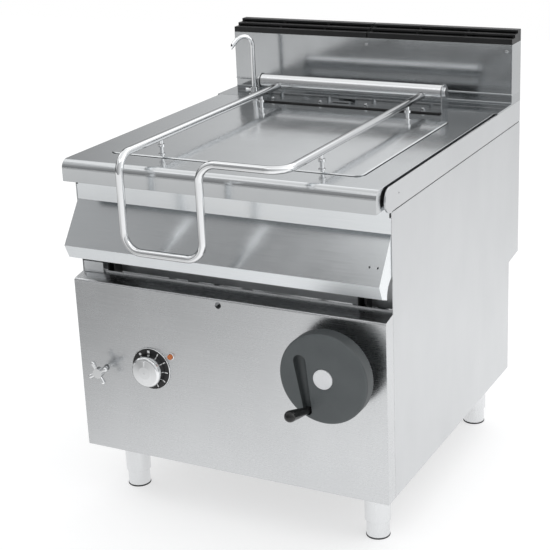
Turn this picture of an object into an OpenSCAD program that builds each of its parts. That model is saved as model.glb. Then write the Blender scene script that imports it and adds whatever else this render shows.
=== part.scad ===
/* [Cabinet] */
// Overall width of the cabinet
cab_w = 800; // [700:10:1000]
// Height of the front panel's lower edge above the floor
panel_base_z = 140; // [120:5:170]
// Height of the front panel's upper front edge
panel_top_z = 572; // [560:1:580]
// Depth of the cabinet below the rear step
lower_depth = 822; // [790:1:860]
// How far the upper part of the back stands out behind the lower part
rear_step = 76; // [70:1:100]
// Height of the rear step
step_z = 450; // [380:5:520]
// Height of the seam between side panels and side rails
seam_z = 808; // [800:1:815]
// Thickness of the sheet metal
sheet = 1.5; // [1:0.1:2]
// Depth of the front panel's side returns
return_d = 38; // [30:1:44]

/* [Worktop and pan] */
// Height of the worktop's upper face
top_z = 866; // [860:1:880]
// Width of the tilting worktop
top_w = 782; // [740:1:784]
// How far the worktop stands out in front of the front panel
top_nose = 20; // [10:1:24]
// Height of the worktop's rolled front edge
top_drop = 50; // [46:1:52]
// Radius of the worktop's rolled front edge
nose_r = 20; // [16:1:30]
// Depth of the fixed deck behind the tilting worktop
deck_depth = 180; // [176:1:186]
// Width of the lid
lid_w = 636; // [600:1:644]
// Front edge of the lid
lid_front_y = 70; // [64:1:80]
// Distance from the lid to the worktop's rear edge
lid_margin = 116; // [106:1:150]
// Depth of the seat that the lid drops into
seat_d = 14; // [12:1:16]
// Width of the ledge round the pan's mouth
ledge_w = 26; // [22:1:40]
// Inner depth of the pan below the ledge
well_d = 152; // [120:1:156]
// Thickness of the pan's heated floor
floor_t = 10; // [6:1:12]
// Largest tilt of the pan
tilt_max = 80; // [60:1:80]

/* [Lid handle] */
// Diameter of the handle tube
handle_d = 18; // [14:1:20]
// Distance from the middle to each handle arm
arm_x = 203; // [180:1:220]
// Height of the handle arms above the worktop
arm_h = 43; // [40:1:46]
// How far the handle stands out in front of the front panel
handle_out = 82; // [72:1:90]
// Height of the hanging loop
loop_h = 219; // [150:1:225]
// Width of the hanging loop
loop_w = 201; // [150:1:220]
// Bend radius of the handle tube
bend_r = 42; // [30:1:50]
// Diameter of the hinge tube
hinge_d = 36; // [30:1:40]
// Height of the hinge axis above the worktop
hinge_h = 52; // [48:1:56]
// Length of the hinge tube
hinge_len = 508; // [450:1:520]

/* [Flue] */
// Depth of the flue
flue_d = 70; // [64:1:84]
// Lower edge of the flue
flue_base_z = 888; // [884:1:895]
// Upper edge of the flue
flue_top_z = 1018; // [980:1:1040]
// Height of the cast grates at the back
grate_h = 30; // [24:1:36]

/* [Handwheel and drive] */
// Distance from the middle to the handwheel's axis
wheel_x = 282; // [276:1:286]
// Height of the handwheel's axis
wheel_z = 453; // [440:1:470]
// Radius of the handwheel
wheel_r = 104; // [100:1:108]
// Depth of the handwheel's rim
wheel_d = 36; // [30:1:46]
// Length of the crank grip
grip_len = 100; // [90:1:112]
// Largest diameter of the crank grip
grip_d = 26; // [22:1:28]
// Angle between the crank grip and the wheel's face
grip_angle = 76; // [70:1:90]
// Teeth on a full circle of the tilting sector
sector_teeth = 112; // [108:2:114]
// Tooth module of the sector and the worm
tooth_m = 3; // [2.9:0.05:3]

/* [Controls] */
// Distance from the middle to the thermostat
dial_x = 200; // [180:1:220]
// Height of the thermostat's axis
dial_z = 372; // [350:1:400]
// Diameter of the black dial
dial_d = 100; // [96:1:106]
// Diameter of the chrome knob
knob_d = 76; // [60:1:78]
// Distance from the middle to the water valve
valve_x = 327; // [310:1:335]
// Height of the water valve's axis
valve_z = 355; // [330:1:380]
// Length of one arm of the water valve's cross handle
valve_arm = 31; // [24:1:34]

/* [Feet] */
// Radius of the telescopic feet
foot_r = 27.5; // [24:0.5:30]
// Distance from the middle to each foot
foot_x = 328; // [300:1:340]
// Front feet behind the front panel
foot_front_y = 100; // [80:1:120]
// Rear feet in front of the lower back
foot_rear_in = 67; // [62:1:120]
// Height of the lower edge of the feet's sleeves
sleeve_z = 42; // [38:1:60]

/* [Hidden] */
$fn = 48;

// Running clearances, gaps and the overrun of cuts
over = 2;
seat_gap = 3;
run_gap = 2;
fit_gap = 0.05;
small_gap = 0.4;

// Round-headed screws of the panels
screw_r = 4;
screw_t = 1.6;

// Main planes of the cabinet
half_w = cab_w / 2;
inner_w = half_w - sheet;
upper_depth = lower_depth + rear_step;
top_rear_y = upper_depth - deck_depth - run_gap;
lid_rear_y = top_rear_y - lid_margin;
flue_y = upper_depth - flue_d;
foot_rear_y = lower_depth - foot_rear_in;
side_y = return_d + sheet / 2;

// Tilting axis of the pan, behind the hood's lower edge
pivot_y = 22;
pivot_z = 630;
pin_r = 8;
head_r = 14;

// Hood of the pan: fascia, crease and lower edge
fascia_y = 40;
fascia_drop = 73;
fascia_z = top_z - fascia_drop;
hood_drop = 109;
hood_top_z = top_z - hood_drop;
crease_y = -28;
crease_drop = 95;
crease_z = hood_top_z - crease_drop;
lip_y = -13;
lip_drop = 33;
lip_z = crease_z - lip_drop;
hood_half = inner_w - small_gap;
hood_hole_ins = [32, 13];
hood_hole_drop = 62;
hood_arc = 44;
arc_in = 16;
arc_drop = 6;

// Worktop, lid seat and pan
top_half = top_w / 2;
seat_half = lid_w / 2 + seat_gap;
seat_front = lid_front_y - seat_gap;
seat_rear = lid_rear_y + seat_gap;
seat_r = 24;
ledge_z = top_z - seat_d;
mouth_half = seat_half - ledge_w;
mouth_front = seat_front + ledge_w;
mouth_rear = seat_rear - ledge_w;
well_wall = 3;
well_r = 34;
well_top = ledge_z - sheet;
well_floor = well_top - well_d;
well_base = well_floor - floor_t;
jacket = 16;
casing_half = mouth_half + well_wall + jacket + sheet;
casing_front = mouth_front - well_wall - jacket - sheet;
casing_rear = mouth_rear + well_wall + jacket + sheet;
casing_gap = 12;
casing_base = well_base - casing_gap;
casing_flange = 48;
flange_t = 3;

// Lid, handle and hinge
lid_proud = 3;
lid_edge = 2;
lid_top = top_z + lid_proud;
lid_skirt = lid_top - ledge_z - small_gap;
arm_z = top_z + arm_h;
handle_r = handle_d / 2;
hinge_in = 26;
hinge_y = top_rear_y - hinge_in;
hinge_shift = 12;
hinge_z = top_z + hinge_h;
hinge_r = hinge_d / 2;
hinge_wall = 3;
plug_t = 12;
ear_t = 3;
ear_x = hinge_len / 2 + run_gap;
hinge_pin_r = 5;
bracket_t = 2.5;
bracket_lead = 20;
bracket_tail = 22;
bracket_front = hinge_y - bracket_lead;
bracket_rear = hinge_y + bracket_tail;
post_r = 4.5;
collar_r = 8;
collar_t = 6;
post_front_in = 24;
post_rear_in = 18;
post_front_y = lid_front_y + post_front_in;
post_rear_y = lid_rear_y - post_rear_in;

// Flue and rear deck
deck_y = top_rear_y + run_gap;
deck_z = top_z;
rail_w = 4;
fascia_half = half_w - rail_w - run_gap;
rail_rise = -4;
rail_top_z = top_z + rail_rise;
rail_front_y = 8;
seam_groove = 2.5;
grate_rib = 6;
grate_gap = 6;
grate_step = 8;
bead_r = 2;
deck_seam_in = 124;
seam_w = 1.6;
lap = 1;

// Handwheel and crank
wheel_face_y = -72;
cap_r = 23;
cap_t = 4;
shaft_r = 7.5;
grip_ux = -38;
grip_uz = -80;
grip_lean = 8.3;
slot_low_r = 9.5;
slot_high_r = 15;
slot_len = 139;
rim_r = 5;
grip_pin_r = 3;
knuckle_r = 7;
knuckle_w = 11;
pin_reach = slot_low_r + knuckle_r;

// Worm, sector and bevel gears
sector_r = sector_teeth * tooth_m / 2;
worm_r = 18;
worm_y = pivot_y + sector_r + worm_r;
worm_lead = PI * tooth_m;
contact_angle = 2;
worm_mid_z = pivot_z + sector_r * sin(contact_angle);
worm_turns = 3;
addendum = 0.8 * tooth_m;
dedendum = 1.25 * tooth_m;
tooth_share = 0.3;
tip_share = 0.62;
sector_t = 8;
bevel_teeth = 16;
bevel_r = 24;
bevel_face = 8;
bevel_root_share = 0.3;
bevel_crest_share = 0.16;
bearing_w = 40;
bearing_t = 12;

// Overall box: from the crank grip's tip to the rear screws
grip_pivot_y = wheel_face_y + knuckle_r;
grip_reach = (grip_len - grip_d / 2) * sin(grip_angle) + grip_d / 2;
front_y = grip_pivot_y - grip_reach;
mid_y = (front_y + upper_depth + screw_t) / 2;

// Colours
steel = [0.78, 0.79, 0.8];
bright = [0.88, 0.88, 0.9];
dark = [0.2, 0.2, 0.21];
black = [0.1, 0.1, 0.1];
brass = [0.75, 0.6, 0.3];

// Moves a piece from the cabinet's front face to the part's origin
module place() {
    translate([0, -mid_y, 0]) children();
}

// Extrudes an outline drawn in Y and Z along X, from x0 over a width
module along_x(x0, w) {
    translate([x0, 0, 0]) rotate([90, 0, 90]) linear_extrude(w) children();
}

// Copies the children to the left and the right side
module both_sides() {
    children();
    mirror([1, 0, 0]) children();
}

// Box between two corners
module span(low, high) {
    translate(low) cube(high - low);
}

// Rectangle with round corners between two corners, built from exact shapes
module round_rect(x0, y0, x1, y1, r) {
    translate([x0 + r, y0]) square([x1 - x0 - 2 * r, y1 - y0]);
    translate([x0, y0 + r]) square([x1 - x0, y1 - y0 - 2 * r]);
    for (x = [x0 + r, x1 - r], y = [y0 + r, y1 - r]) translate([x, y]) circle(r);
}

// Upright block with round corners
module round_block(low, high, r) {
    translate([0, 0, low.z]) linear_extrude(high.z - low.z)
        round_rect(low.x, low.y, high.x, high.y, r);
}

// Cylinder along Y from y0 over a length
module rod_y(x, y0, z, r, len) {
    translate([x, y0 + len, z]) rotate([90, 0, 0]) cylinder(h = len, r = r);
}

// Cylinder along X from x0 over a length
module rod_x(x0, y, z, r, len) {
    translate([x0, y, z]) rotate([0, 90, 0]) cylinder(h = len, r = r);
}

// Unit vector
function unit(v) = v / norm(v);

// Rigid frame with columns a, b, c at point p
function rigid(a, b, c, p) = [
    [a.x, b.x, c.x, p.x], [a.y, b.y, c.y, p.y], [a.z, b.z, c.z, p.z], [0, 0, 0, 1]];

// Any unit vector square to d
function square_to(d) = abs(d.z) < 0.9 ? unit(cross(d, [0, 0, 1])) : [1, 0, 0];

// Straight piece of a bent tube
module tube_run(a, b, r) {
    d = unit(b - a);
    s = square_to(d);
    multmatrix(rigid(s, cross(d, s), d, a)) cylinder(h = norm(b - a), r = r);
}

// Bend of a tube at corner c, between directions d1 and d2
module tube_bend(c, d1, d2, bend, r) {
    turn = acos(d1 * d2);
    n = unit(d2 - (d1 * d2) * d1);
    start = c - d1 * bend * tan(turn / 2);
    multmatrix(rigid(-n, d1, cross(-n, d1), start + n * bend))
        rotate_extrude(angle = turn) translate([bend, 0]) circle(r);
}

// Round tube that follows corner points, with one bend radius
module bent_tube(pts, bend, r) {
    last = len(pts) - 1;
    dirs = [for (i = [0:last - 1]) unit(pts[i + 1] - pts[i])];
    cut = [for (i = [0:last]) (i == 0 || i == last) ? 0
        : bend * tan(acos(dirs[i - 1] * dirs[i]) / 2)];
    for (i = [0:last - 1])
        tube_run(pts[i] + dirs[i] * cut[i], pts[i + 1] - dirs[i] * cut[i + 1], r);
    for (i = [1:last - 1]) tube_bend(pts[i], dirs[i - 1], dirs[i], bend, r);
}

// Outline of a gear with straight-sided teeth; a gap is centred on angle 0
module gear_outline(teeth, r, out, in, root_share, crest_share) {
    step = 360 / teeth;
    polygon([for (i = [0:teeth - 1], k = [0:3]) let (
        a = (i + 0.5) * step + (k < 1 ? -root_share : k < 2 ? -crest_share
            : k < 3 ? crest_share : root_share) * step,
        q = (k == 0 || k == 3) ? r - in : r + out)
        [q * cos(a), q * sin(a)]]);
}

// CABINET

frame_tube = 30;
frame_wall = 2;
frame_in = 4;
cross_y1 = worm_y + bearing_w;
module base_frame() {
    z0 = panel_base_z + sheet;
    x1 = inner_w - frame_in;
    y0 = return_d + frame_in;
    y1 = lower_depth - sheet;
    color(steel) place() {
        for (y = [y0, y1 - frame_tube]) difference() {
            span([-x1, y, z0], [x1, y + frame_tube, z0 + frame_tube]);
            span([-x1 - over, y + frame_wall, z0 + frame_wall],
                [x1 + over, y + frame_tube - frame_wall, z0 + frame_tube - frame_wall]);
        }
        both_sides() difference() {
            span([x1 - frame_tube, y0 + frame_tube, z0],
                [x1, y1 - frame_tube, z0 + frame_tube]);
            span([x1 - frame_tube + frame_wall, y0, z0 + frame_wall],
                [x1 - frame_wall, y1, z0 + frame_tube - frame_wall]);
        }
        // Cross members that carry the burner shelf's legs and the worm's bearing plate
        for (y = [cross_y1, cross_y2]) span([-x1 + frame_tube - lap, y, z0],
            [x1 - frame_tube + lap, y + frame_tube, z0 + frame_tube]);
        // Corner plates over the feet
        both_sides() {
            span([foot_x - sleeve_r, y0 + frame_tube - lap, z0],
                [x1 - frame_tube + lap, foot_front_y + sleeve_r, z0 + flange_t]);
            span([foot_x - sleeve_r, foot_rear_y - sleeve_r, z0],
                [x1 - frame_tube + lap, y1 - frame_tube + lap, z0 + flange_t]);
        }
    }
}

chamfer = 9;
module side_outline() {
    polygon([[side_y, panel_base_z], [lower_depth, panel_base_z],
        [lower_depth, step_z - chamfer], [upper_depth, step_z],
        [upper_depth, seam_z - seam_groove], [side_y, seam_z - seam_groove]]);
}

hem_w = 22;
module side_panel() {
    color(steel) place() {
        along_x(inner_w, sheet) side_outline();
        // The lower hem stiffens the sheet
        span([inner_w - hem_w, side_y + hem_w, panel_base_z],
            [inner_w, lower_depth - hem_w, panel_base_z + sheet]);
    }
}
module side_panel_right() { side_panel(); }
module side_panel_left() { mirror([1, 0, 0]) side_panel(); }

sight_x = -10;
sight_z = 556;
sight_r = 8;
lamp_x = -144;
lamp_z = 411;
lamp_r = 8.5;
flange_d = 46;
flange_rise = 9;
corner_r = 6;
hem_h = 5;
function flange_at(y) = panel_top_z
    + (flange_rise - sheet) * (y - corner_r) / (flange_d - sheet - corner_r);
module panel_outline() {
    // Front face, rolled upper edge, rising flange and its hem
    r = corner_r;
    polygon(concat(
        [[0, panel_base_z]],
        [for (a = [180:-15:90]) [r + r * cos(a), panel_top_z - r + r * sin(a)]],
        [[flange_d - sheet, panel_top_z + flange_rise - sheet],
         [flange_d - sheet, panel_top_z + flange_rise + hem_h - sheet],
         [flange_d, panel_top_z + flange_rise + hem_h - sheet],
         [flange_d, panel_top_z + flange_rise - 2 * sheet]],
        [for (a = [90:15:180]) [r + (r - sheet) * cos(a), panel_top_z - r + (r - sheet) * sin(a)]],
        [[sheet, panel_base_z]]));
}
module return_outline() {
    // Side return that fills the end below the rolled edge and the flange
    r = corner_r;
    polygon(concat(
        [[0, panel_base_z]],
        [for (a = [180:-15:90]) [r + r * cos(a), panel_top_z - r + r * sin(a)]],
        [[return_d, flange_at(return_d) - sheet / 2], [return_d, panel_base_z]]));
}
module front_panel() {
    color(steel) place() difference() {
        union() {
            along_x(-half_w, cab_w) panel_outline();
            both_sides() along_x(inner_w, sheet) return_outline();
            span([-inner_w, 0, panel_base_z], [inner_w, return_d + hem_w, panel_base_z + sheet]);
        }
        // The flange's rear ends stay clear of the side panels
        both_sides() span([inner_w - small_gap, return_d, panel_base_z - over],
            [half_w + over, flange_d + hem_w, panel_top_z + flange_rise + hem_h]);
        rod_y(wheel_x, -over, wheel_z, shaft_r + run_gap, return_d);
        rod_y(-dial_x, -over, dial_z, stem_r + run_gap, return_d);
        rod_y(-valve_x, -over, valve_z, valve_hole_r, return_d);
        rod_y(lamp_x, -over, lamp_z, lamp_r - run_gap, return_d);
        rod_y(sight_x, -over, sight_z, sight_r, return_d);
    }
}

module back_panel() {
    color(steel) place() difference() {
        along_x(-inner_w, 2 * inner_w) polygon([
            [lower_depth - sheet, panel_base_z + sheet], [lower_depth, panel_base_z + sheet],
            [lower_depth, step_z + sheet], [upper_depth, step_z + sheet],
            [upper_depth, seam_z - lap], [upper_depth - sheet, seam_z - lap],
            [upper_depth - sheet, step_z + 2 * sheet], [lower_depth - sheet, step_z + 2 * sheet]]);
        rod_y(-pipe_x, lower_depth - hem_w, water_z, water_r + small_gap, 2 * hem_w);
        rod_y(-gas_x, lower_depth - hem_w, gas_z, pipe_r + small_gap, 2 * hem_w);
    }
}

rail_r = 28;
tongue_y = 120;
pin_hole_r = 2;
rail_hole_y = 80;
rail_hole_drop = 24;
module side_rail() {
    // The rounded front end follows the worktop's rolled edge; a tongue reaches down inside
    x0 = half_w - rail_w;
    yc = rail_front_y + rail_r;
    color(steel) place() {
        difference() {
            along_x(x0, rail_w) {
                translate([yc, rail_top_z - rail_r]) circle(rail_r);
                translate([yc, seam_z]) square([upper_depth - yc, rail_top_z - seam_z]);
            }
            span([x0 + sheet, yc, seam_z - over],
                [half_w - sheet, upper_depth + over, rail_top_z - sheet]);
            rod_x(half_w - 2 * sheet, rail_hole_y, rail_top_z - rail_hole_drop, pin_hole_r,
                2 * sheet + over);
        }
        span([inner_w - fit_gap - sheet, tongue_y, seam_z - hem_w],
            [inner_w - fit_gap, upper_depth - hem_w, seam_z + lap]);
        span([inner_w - sheet - lap, tongue_y, seam_z], [half_w - lap, upper_depth - hem_w,
            seam_z + lap]);
    }
}
module side_rail_right() { side_rail(); }
module side_rail_left() { mirror([1, 0, 0]) side_rail(); }

// Pan pivots: a black forked post on each side, with a pin
ear_w = 12;
post_x = 318;
fork_t = 3;
fork_gap = 1.5;
post_y0 = flange_d + run_gap;
post_d = 28;
neck_z = 606;
neck_y = 26;
neck_rise = 11;
web_drop = 52;
module post_outline() {
    z0 = panel_base_z + sheet + frame_tube;
    polygon([[post_y0, z0], [post_y0 + post_d, z0], [post_y0 + post_d, pivot_z - head_r],
        [pivot_y + head_r * 0.7, pivot_z + head_r * 0.7], [pivot_y - head_r, pivot_z],
        [neck_y, neck_z + neck_rise], [post_y0, neck_z]]);
    translate([pivot_y, pivot_z]) circle(head_r);
}
module pivot_post() {
    x0 = post_x - fork_gap - fork_t;
    x1 = post_x + ear_w + fork_gap;
    color(black) place() difference() {
        union() {
            along_x(x0, fork_t) post_outline();
            along_x(x1, fork_t) post_outline();
            // Web that joins the two cheeks below the ear
            span([x0, post_y0 + post_d - fork_t, panel_base_z + sheet + frame_tube],
                [x1 + fork_t, post_y0 + post_d, pivot_z - web_drop]);
        }
        rod_x(x0 - over, pivot_y, pivot_z, pin_r, x1 - x0 + fork_t + 2 * over);
    }
}
module pivot_post_right() { pivot_post(); }
module pivot_post_left() { mirror([1, 0, 0]) pivot_post(); }

pin_head_t = 3;
module pivot_pins() {
    x0 = post_x - fork_gap - fork_t;
    x1 = post_x + ear_w + fork_gap + fork_t;
    color(bright) place() both_sides() {
        rod_x(x0 - fork_gap, pivot_y, pivot_z, pin_r, x1 - x0 + fork_gap);
        rod_x(x1, pivot_y, pivot_z, pin_r + pin_head_t, pin_head_t);
    }
}

module rear_deck() {
    // Fixed deck over the side rails, with down-turned edges and a plinth for the flue
    x1 = half_w - rail_w - small_gap;
    ys = upper_depth - deck_seam_in;
    color(steel) place() difference() {
        union() {
            span([-half_w, deck_y, deck_z - sheet], [half_w, upper_depth, deck_z]);
            span([-x1, deck_y, seam_z], [x1, deck_y + sheet, deck_z]);
            span([-x1, upper_depth - sheet, seam_z], [x1, upper_depth, deck_z]);
            both_sides() {
                span([x1 - sheet, deck_y, seam_z], [x1, upper_depth, deck_z]);
                span([half_w - sheet, deck_y, rail_top_z + small_gap],
                    [half_w, upper_depth, deck_z]);
            }
            span([-half_w, flue_y + lap, deck_z - sheet],
                [half_w, upper_depth, flue_base_z - lap]);
            rod_x(-half_w, flue_y + lap, deck_z + bead_r, bead_r, cab_w);
        }
        span([-x1 + sheet, flue_y + lap + sheet, deck_z],
            [x1 - sheet, upper_depth - sheet, flue_base_z + over]);
        // Seam across the deck
        span([-half_w - over, ys, deck_z - sheet / 2], [half_w + over, ys + seam_w, deck_z + over]);
        span([-duct_half + sheet, duct_y + sheet, deck_z - 2 * sheet],
            [duct_half - sheet, duct_y + duct_d - sheet, deck_z + over]);
        translate([tap_x, tap_y, seam_z]) cylinder(h = 2 * top_drop, r = tail_r + small_gap);
    }
}

shield_z0 = 575;
shield_z1 = 650;
module splash_shield() {
    // Upright sheet behind the gap between the front panel and the hood
    y = post_y0 + post_d;
    x = inner_w - sheet;
    color(steel) place() {
        span([-x, y, shield_z0], [x, y + sheet, shield_z1]);
        span([-x, y, shield_z0], [x, y + hem_w, shield_z0 + sheet]);
    }
}

module flue_box() {
    color(steel) place() difference() {
        union() {
            span([-half_w, flue_y, flue_base_z - lap], [half_w, upper_depth, flue_top_z]);
            rod_x(-half_w, flue_y, flue_base_z + bead_r, bead_r, cab_w);
        }
        span([-half_w + sheet, flue_y + sheet, flue_base_z - over],
            [half_w - sheet, upper_depth - sheet, flue_top_z + over]);
    }
}

duct_half = 150;
duct_d = 50;
duct_z = 640;
duct_y = upper_depth - sheet - duct_d;
module flue_duct() {
    y0 = duct_y;
    color(steel) place() difference() {
        span([-duct_half, y0, duct_z], [duct_half, y0 + duct_d, deck_z - sheet]);
        span([-duct_half + sheet, y0 + sheet, duct_z + sheet],
            [duct_half - sheet, y0 + duct_d - sheet, deck_z + over]);
        // Mouth that takes the burnt gas from under the pan
        span([-duct_half + duct_d, y0 - over, duct_z + sheet],
            [duct_half - duct_d, y0 + 2 * sheet, duct_z + duct_d + sheet]);
    }
}

grate_levels = 3;
grate_ribs = 2;
grate_t = 5;
grate_half_gap = 1.5;
module grate_outline(rise) {
    // Stepped end of the grate, drawn from its foot up to each level
    row = flue_d / grate_levels;
    for (i = [0:grate_levels - 1]) translate([flue_y + i * row, flue_top_z])
        square([flue_d - i * row, grate_h - (grate_levels - 1 - i) * grate_step - rise]);
}
module flue_grate() {
    // Cast grate: stepped ends and ribs carry one louvre at each level
    x0 = grate_half_gap;
    x1 = half_w - small_gap;
    row = flue_d / grate_levels;
    color(black) place() {
        for (x = [x0, x1 - grate_rib]) along_x(x, grate_rib) grate_outline(0);
        for (i = [1:grate_ribs]) let (x = x0 + i * (x1 - x0) / (grate_ribs + 1))
            along_x(x - grate_rib / 2, grate_rib) grate_outline(lap);
        span([x0, flue_y, flue_top_z], [x1, flue_y + grate_rib,
            flue_top_z + grate_h - (grate_levels - 1) * grate_step]);
        span([x0, upper_depth - grate_rib, flue_top_z], [x1, upper_depth, flue_top_z + grate_h]);
        for (i = [0:grate_levels - 1]) let (z = flue_top_z + grate_h
            - (grate_levels - 1 - i) * grate_step, y = flue_y + i * row)
            span([x0, y, z - grate_t], [x1, y + row - (i < grate_levels - 1 ? grate_gap : 0), z]);
    }
}
module flue_grate_right() { flue_grate(); }
module flue_grate_left() { mirror([1, 0, 0]) flue_grate(); }

// FEET

sleeve_wall = 3.5;
sleeve_r = foot_r + sleeve_wall;
foot_fit = 0.3;
pad_t = 4;
module foot_sleeve(x, y) {
    z1 = panel_base_z + sheet;
    translate([x, y, 0]) difference() {
        translate([0, 0, sleeve_z]) cylinder(h = z1 - sleeve_z, r = sleeve_r);
        translate([0, 0, sleeve_z - over]) cylinder(h = z1 - sleeve_z + over - sheet * 2,
            r = foot_r + foot_fit);
    }
}
module foot_sleeves() {
    color(bright) place() for (x = [-foot_x, foot_x], y = [foot_front_y, foot_rear_y])
        foot_sleeve(x, y);
}
module foot(x, y) {
    // Telescopic cup with a narrower pad under it
    color(bright) place() translate([x, y, 0]) difference() {
        union() {
            cylinder(h = pad_t, r = foot_r + foot_fit);
            translate([0, 0, pad_t]) cylinder(h = panel_base_z - pad_t - run_gap, r = foot_r);
        }
        translate([0, 0, pad_t + sheet]) cylinder(h = panel_base_z, r = foot_r - run_gap);
    }
}
module foot_front_left() { foot(-foot_x, foot_front_y); }
module foot_front_right() { foot(foot_x, foot_front_y); }
module foot_rear_left() { foot(-foot_x, foot_rear_y); }
module foot_rear_right() { foot(foot_x, foot_rear_y); }

// CONTROLS

plate_w = 54;
plate_h = 20;
plate_x = sheet - inner_w;
plate_y = 40;
module blank_plate() {
    // Bare plate on a folded foot that stands on the front panel's flange
    z0 = flange_at(plate_y + sheet) + small_gap / 2;
    color(bright) place() {
        span([plate_x, plate_y, z0], [plate_x + plate_w, plate_y + sheet, z0 + plate_h + hem_h]);
        span([plate_x, plate_y + sheet - hem_h, z0], [plate_x + plate_w, plate_y + sheet, z0 + sheet]);
    }
}

lens_r = 6;
module pilot_lamp() {
    color([0.9, 0.45, 0.1]) place() {
        rod_y(lamp_x, -run_gap, lamp_z, lamp_r, run_gap);
        rod_y(lamp_x, -run_gap - hem_h, lamp_z, lens_r, hem_h);
        rod_y(lamp_x, 0, lamp_z, lamp_r - run_gap - small_gap, hem_w);
    }
}

dial_t = 4;
stem_r = 5;
module thermostat_dial() {
    color(black) place() difference() {
        rod_y(-dial_x, -dial_t, dial_z, dial_d / 2, dial_t);
        rod_y(-dial_x, -dial_t - over, dial_z, stem_r + run_gap, dial_t + 2 * over);
    }
}

mark_t = 0.6;
mark_w = 2.4;
mark_len = 8;
mark_dot = 3.2;
mark_r = 43;
mark_angles = [-38, -4, 29, 61, 94, 126, 157];
module dial_marks() {
    // Plain ticks, a dot and a square
    color("white") place() for (i = [0:len(mark_angles) - 1])
        translate([-dial_x, -dial_t - mark_t, dial_z]) rotate([0, mark_angles[i], 0])
            translate([0, 0, mark_r]) {
                if (i == 0) rod_y(0, 0, 0, mark_dot, mark_t);
                if (i == 1) span([-mark_dot, 0, -mark_dot], [mark_dot, mark_t, mark_dot]);
                if (i > 1) span([-mark_w / 2, 0, -mark_len / 2],
                    [mark_w / 2, mark_t, mark_len / 2]);
            }
}

knob_h = 26;
knob_step = 5;
knob_edge = 8;
knob_dome = 2;
module thermostat_knob() {
    // Turned knob with a rounded edge, a slight dome, a pointer and its stem
    r = knob_d / 2;
    e = knob_edge;
    y0 = -dial_t - lap;
    color(bright) place() translate([-dial_x, y0, dial_z]) rotate([90, 0, 0]) {
        rotate_extrude() polygon(concat([[0, 0], [r, 0]],
            [for (a = [0:15:90]) [r - e + e * cos(a), knob_h - e + e * sin(a)]],
            [[r * 0.4, knob_h + knob_dome * 0.8], [0, knob_h + knob_dome]]));
        translate([-lap, r * 0.45, knob_h - lap]) cube([2 * lap, r * 0.35, knob_dome + lap]);
        translate([0, 0, -valve_gap]) cylinder(h = valve_gap, r = stem_r);
    }
}

valve_gap = 28;
box_w = 90;
box_d = 70;
module gas_valve() {
    // Thermostatic gas valve behind the dial; the knob's stem turns in its bore
    y0 = hem_w;
    color(dark) place() difference() {
        union() {
            span([-dial_x - box_w / 2, y0, dial_z - box_d / 2],
                [-dial_x + box_w / 2, y0 + box_d, dial_z + box_d / 2]);
            rod_y(-dial_x, y0 - stem_r, dial_z, stem_r * 2, stem_r * 2);
        }
        rod_y(-dial_x, 0, dial_z, stem_r + fit_gap, y0 + valve_gap);
    }
}

pipe_r = 9;
burner_lead = 57;
burner_tail = 17;
burner_y0 = mouth_front + burner_lead;
burner_y1 = mouth_rear - burner_tail;
cross_in = 42;
cross_y2 = burner_y1 - cross_in;
burner_z = 640;
burner_r = 16;
burner_rows = [-150, 0, 150];
burner_holes = 12;
burner_pitch = (burner_y1 - burner_y0) / (burner_holes + 1);
manifold_lead = 32;
manifold_y = burner_y0 - manifold_lead;
gas_x = 180;
gas_z = 230;
inlet_out = 30;
gas_end_r = 10.5;
water_end_r = 8.3;
module gas_pipes() {
    // Pipe and manifold from the valve to the burners, and the supply from the back
    yv = hem_w + box_d;
    color(brass) place() {
        bent_tube([[-dial_x, yv, dial_z], [-dial_x, manifold_y, dial_z],
            [-dial_x, manifold_y, burner_z], [burner_rows[2] + hem_w, manifold_y, burner_z]],
            2 * pipe_r, pipe_r);
        for (x = burner_rows)
            rod_y(x, manifold_y, burner_z, pipe_r / 2, burner_y0 - manifold_y - small_gap);
        bent_tube([[-gas_x, hem_w + box_d / 2, dial_z - box_d / 2],
            [-gas_x, hem_w + box_d / 2, gas_z], [-gas_x, lower_depth + run_gap + lap, gas_z]],
            2 * pipe_r, pipe_r);
        rod_y(-gas_x, lower_depth + run_gap, gas_z, gas_end_r, inlet_out);
    }
}

module burner_tubes() {
    color(steel) place() for (x = burner_rows) difference() {
        rod_y(x, burner_y0, burner_z, burner_r, burner_y1 - burner_y0);
        rod_y(x, burner_y0 - over, burner_z, burner_r - sheet, burner_y1 - burner_y0);
        for (i = [1:burner_holes]) translate([x, burner_y0 + i * burner_pitch, burner_z])
            cylinder(h = burner_r * 2, r = sheet * 2);
    }
}

shelf_half = 240;
shelf_t = 3;
module burner_shelf() {
    // Heat shield under the burners, on four legs, with saddles for the tubes
    z1 = burner_z - burner_r - small_gap;
    z0 = panel_base_z + sheet + frame_tube;
    color(steel) place() {
        span([-shelf_half, burner_y0 + hem_w, z1 - shelf_t],
            [shelf_half, burner_y1 + hem_w, z1]);
        for (x = [-shelf_half, shelf_half - frame_tube], y = [cross_y1 + lap, cross_y2 + lap])
            span([x, y, z0], [x + frame_tube, y + shelf_t, z1]);
        for (x = burner_rows, y = [burner_y0 + 2 * hem_w, burner_y1 - 2 * hem_w])
            difference() {
                span([x - burner_r - hem_w, y, z1], [x + burner_r + hem_w, y + shelf_t, burner_z]);
                rod_y(x, y - over, burner_z, burner_r + small_gap / 2, shelf_t + 2 * over);
            }
    }
}

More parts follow.
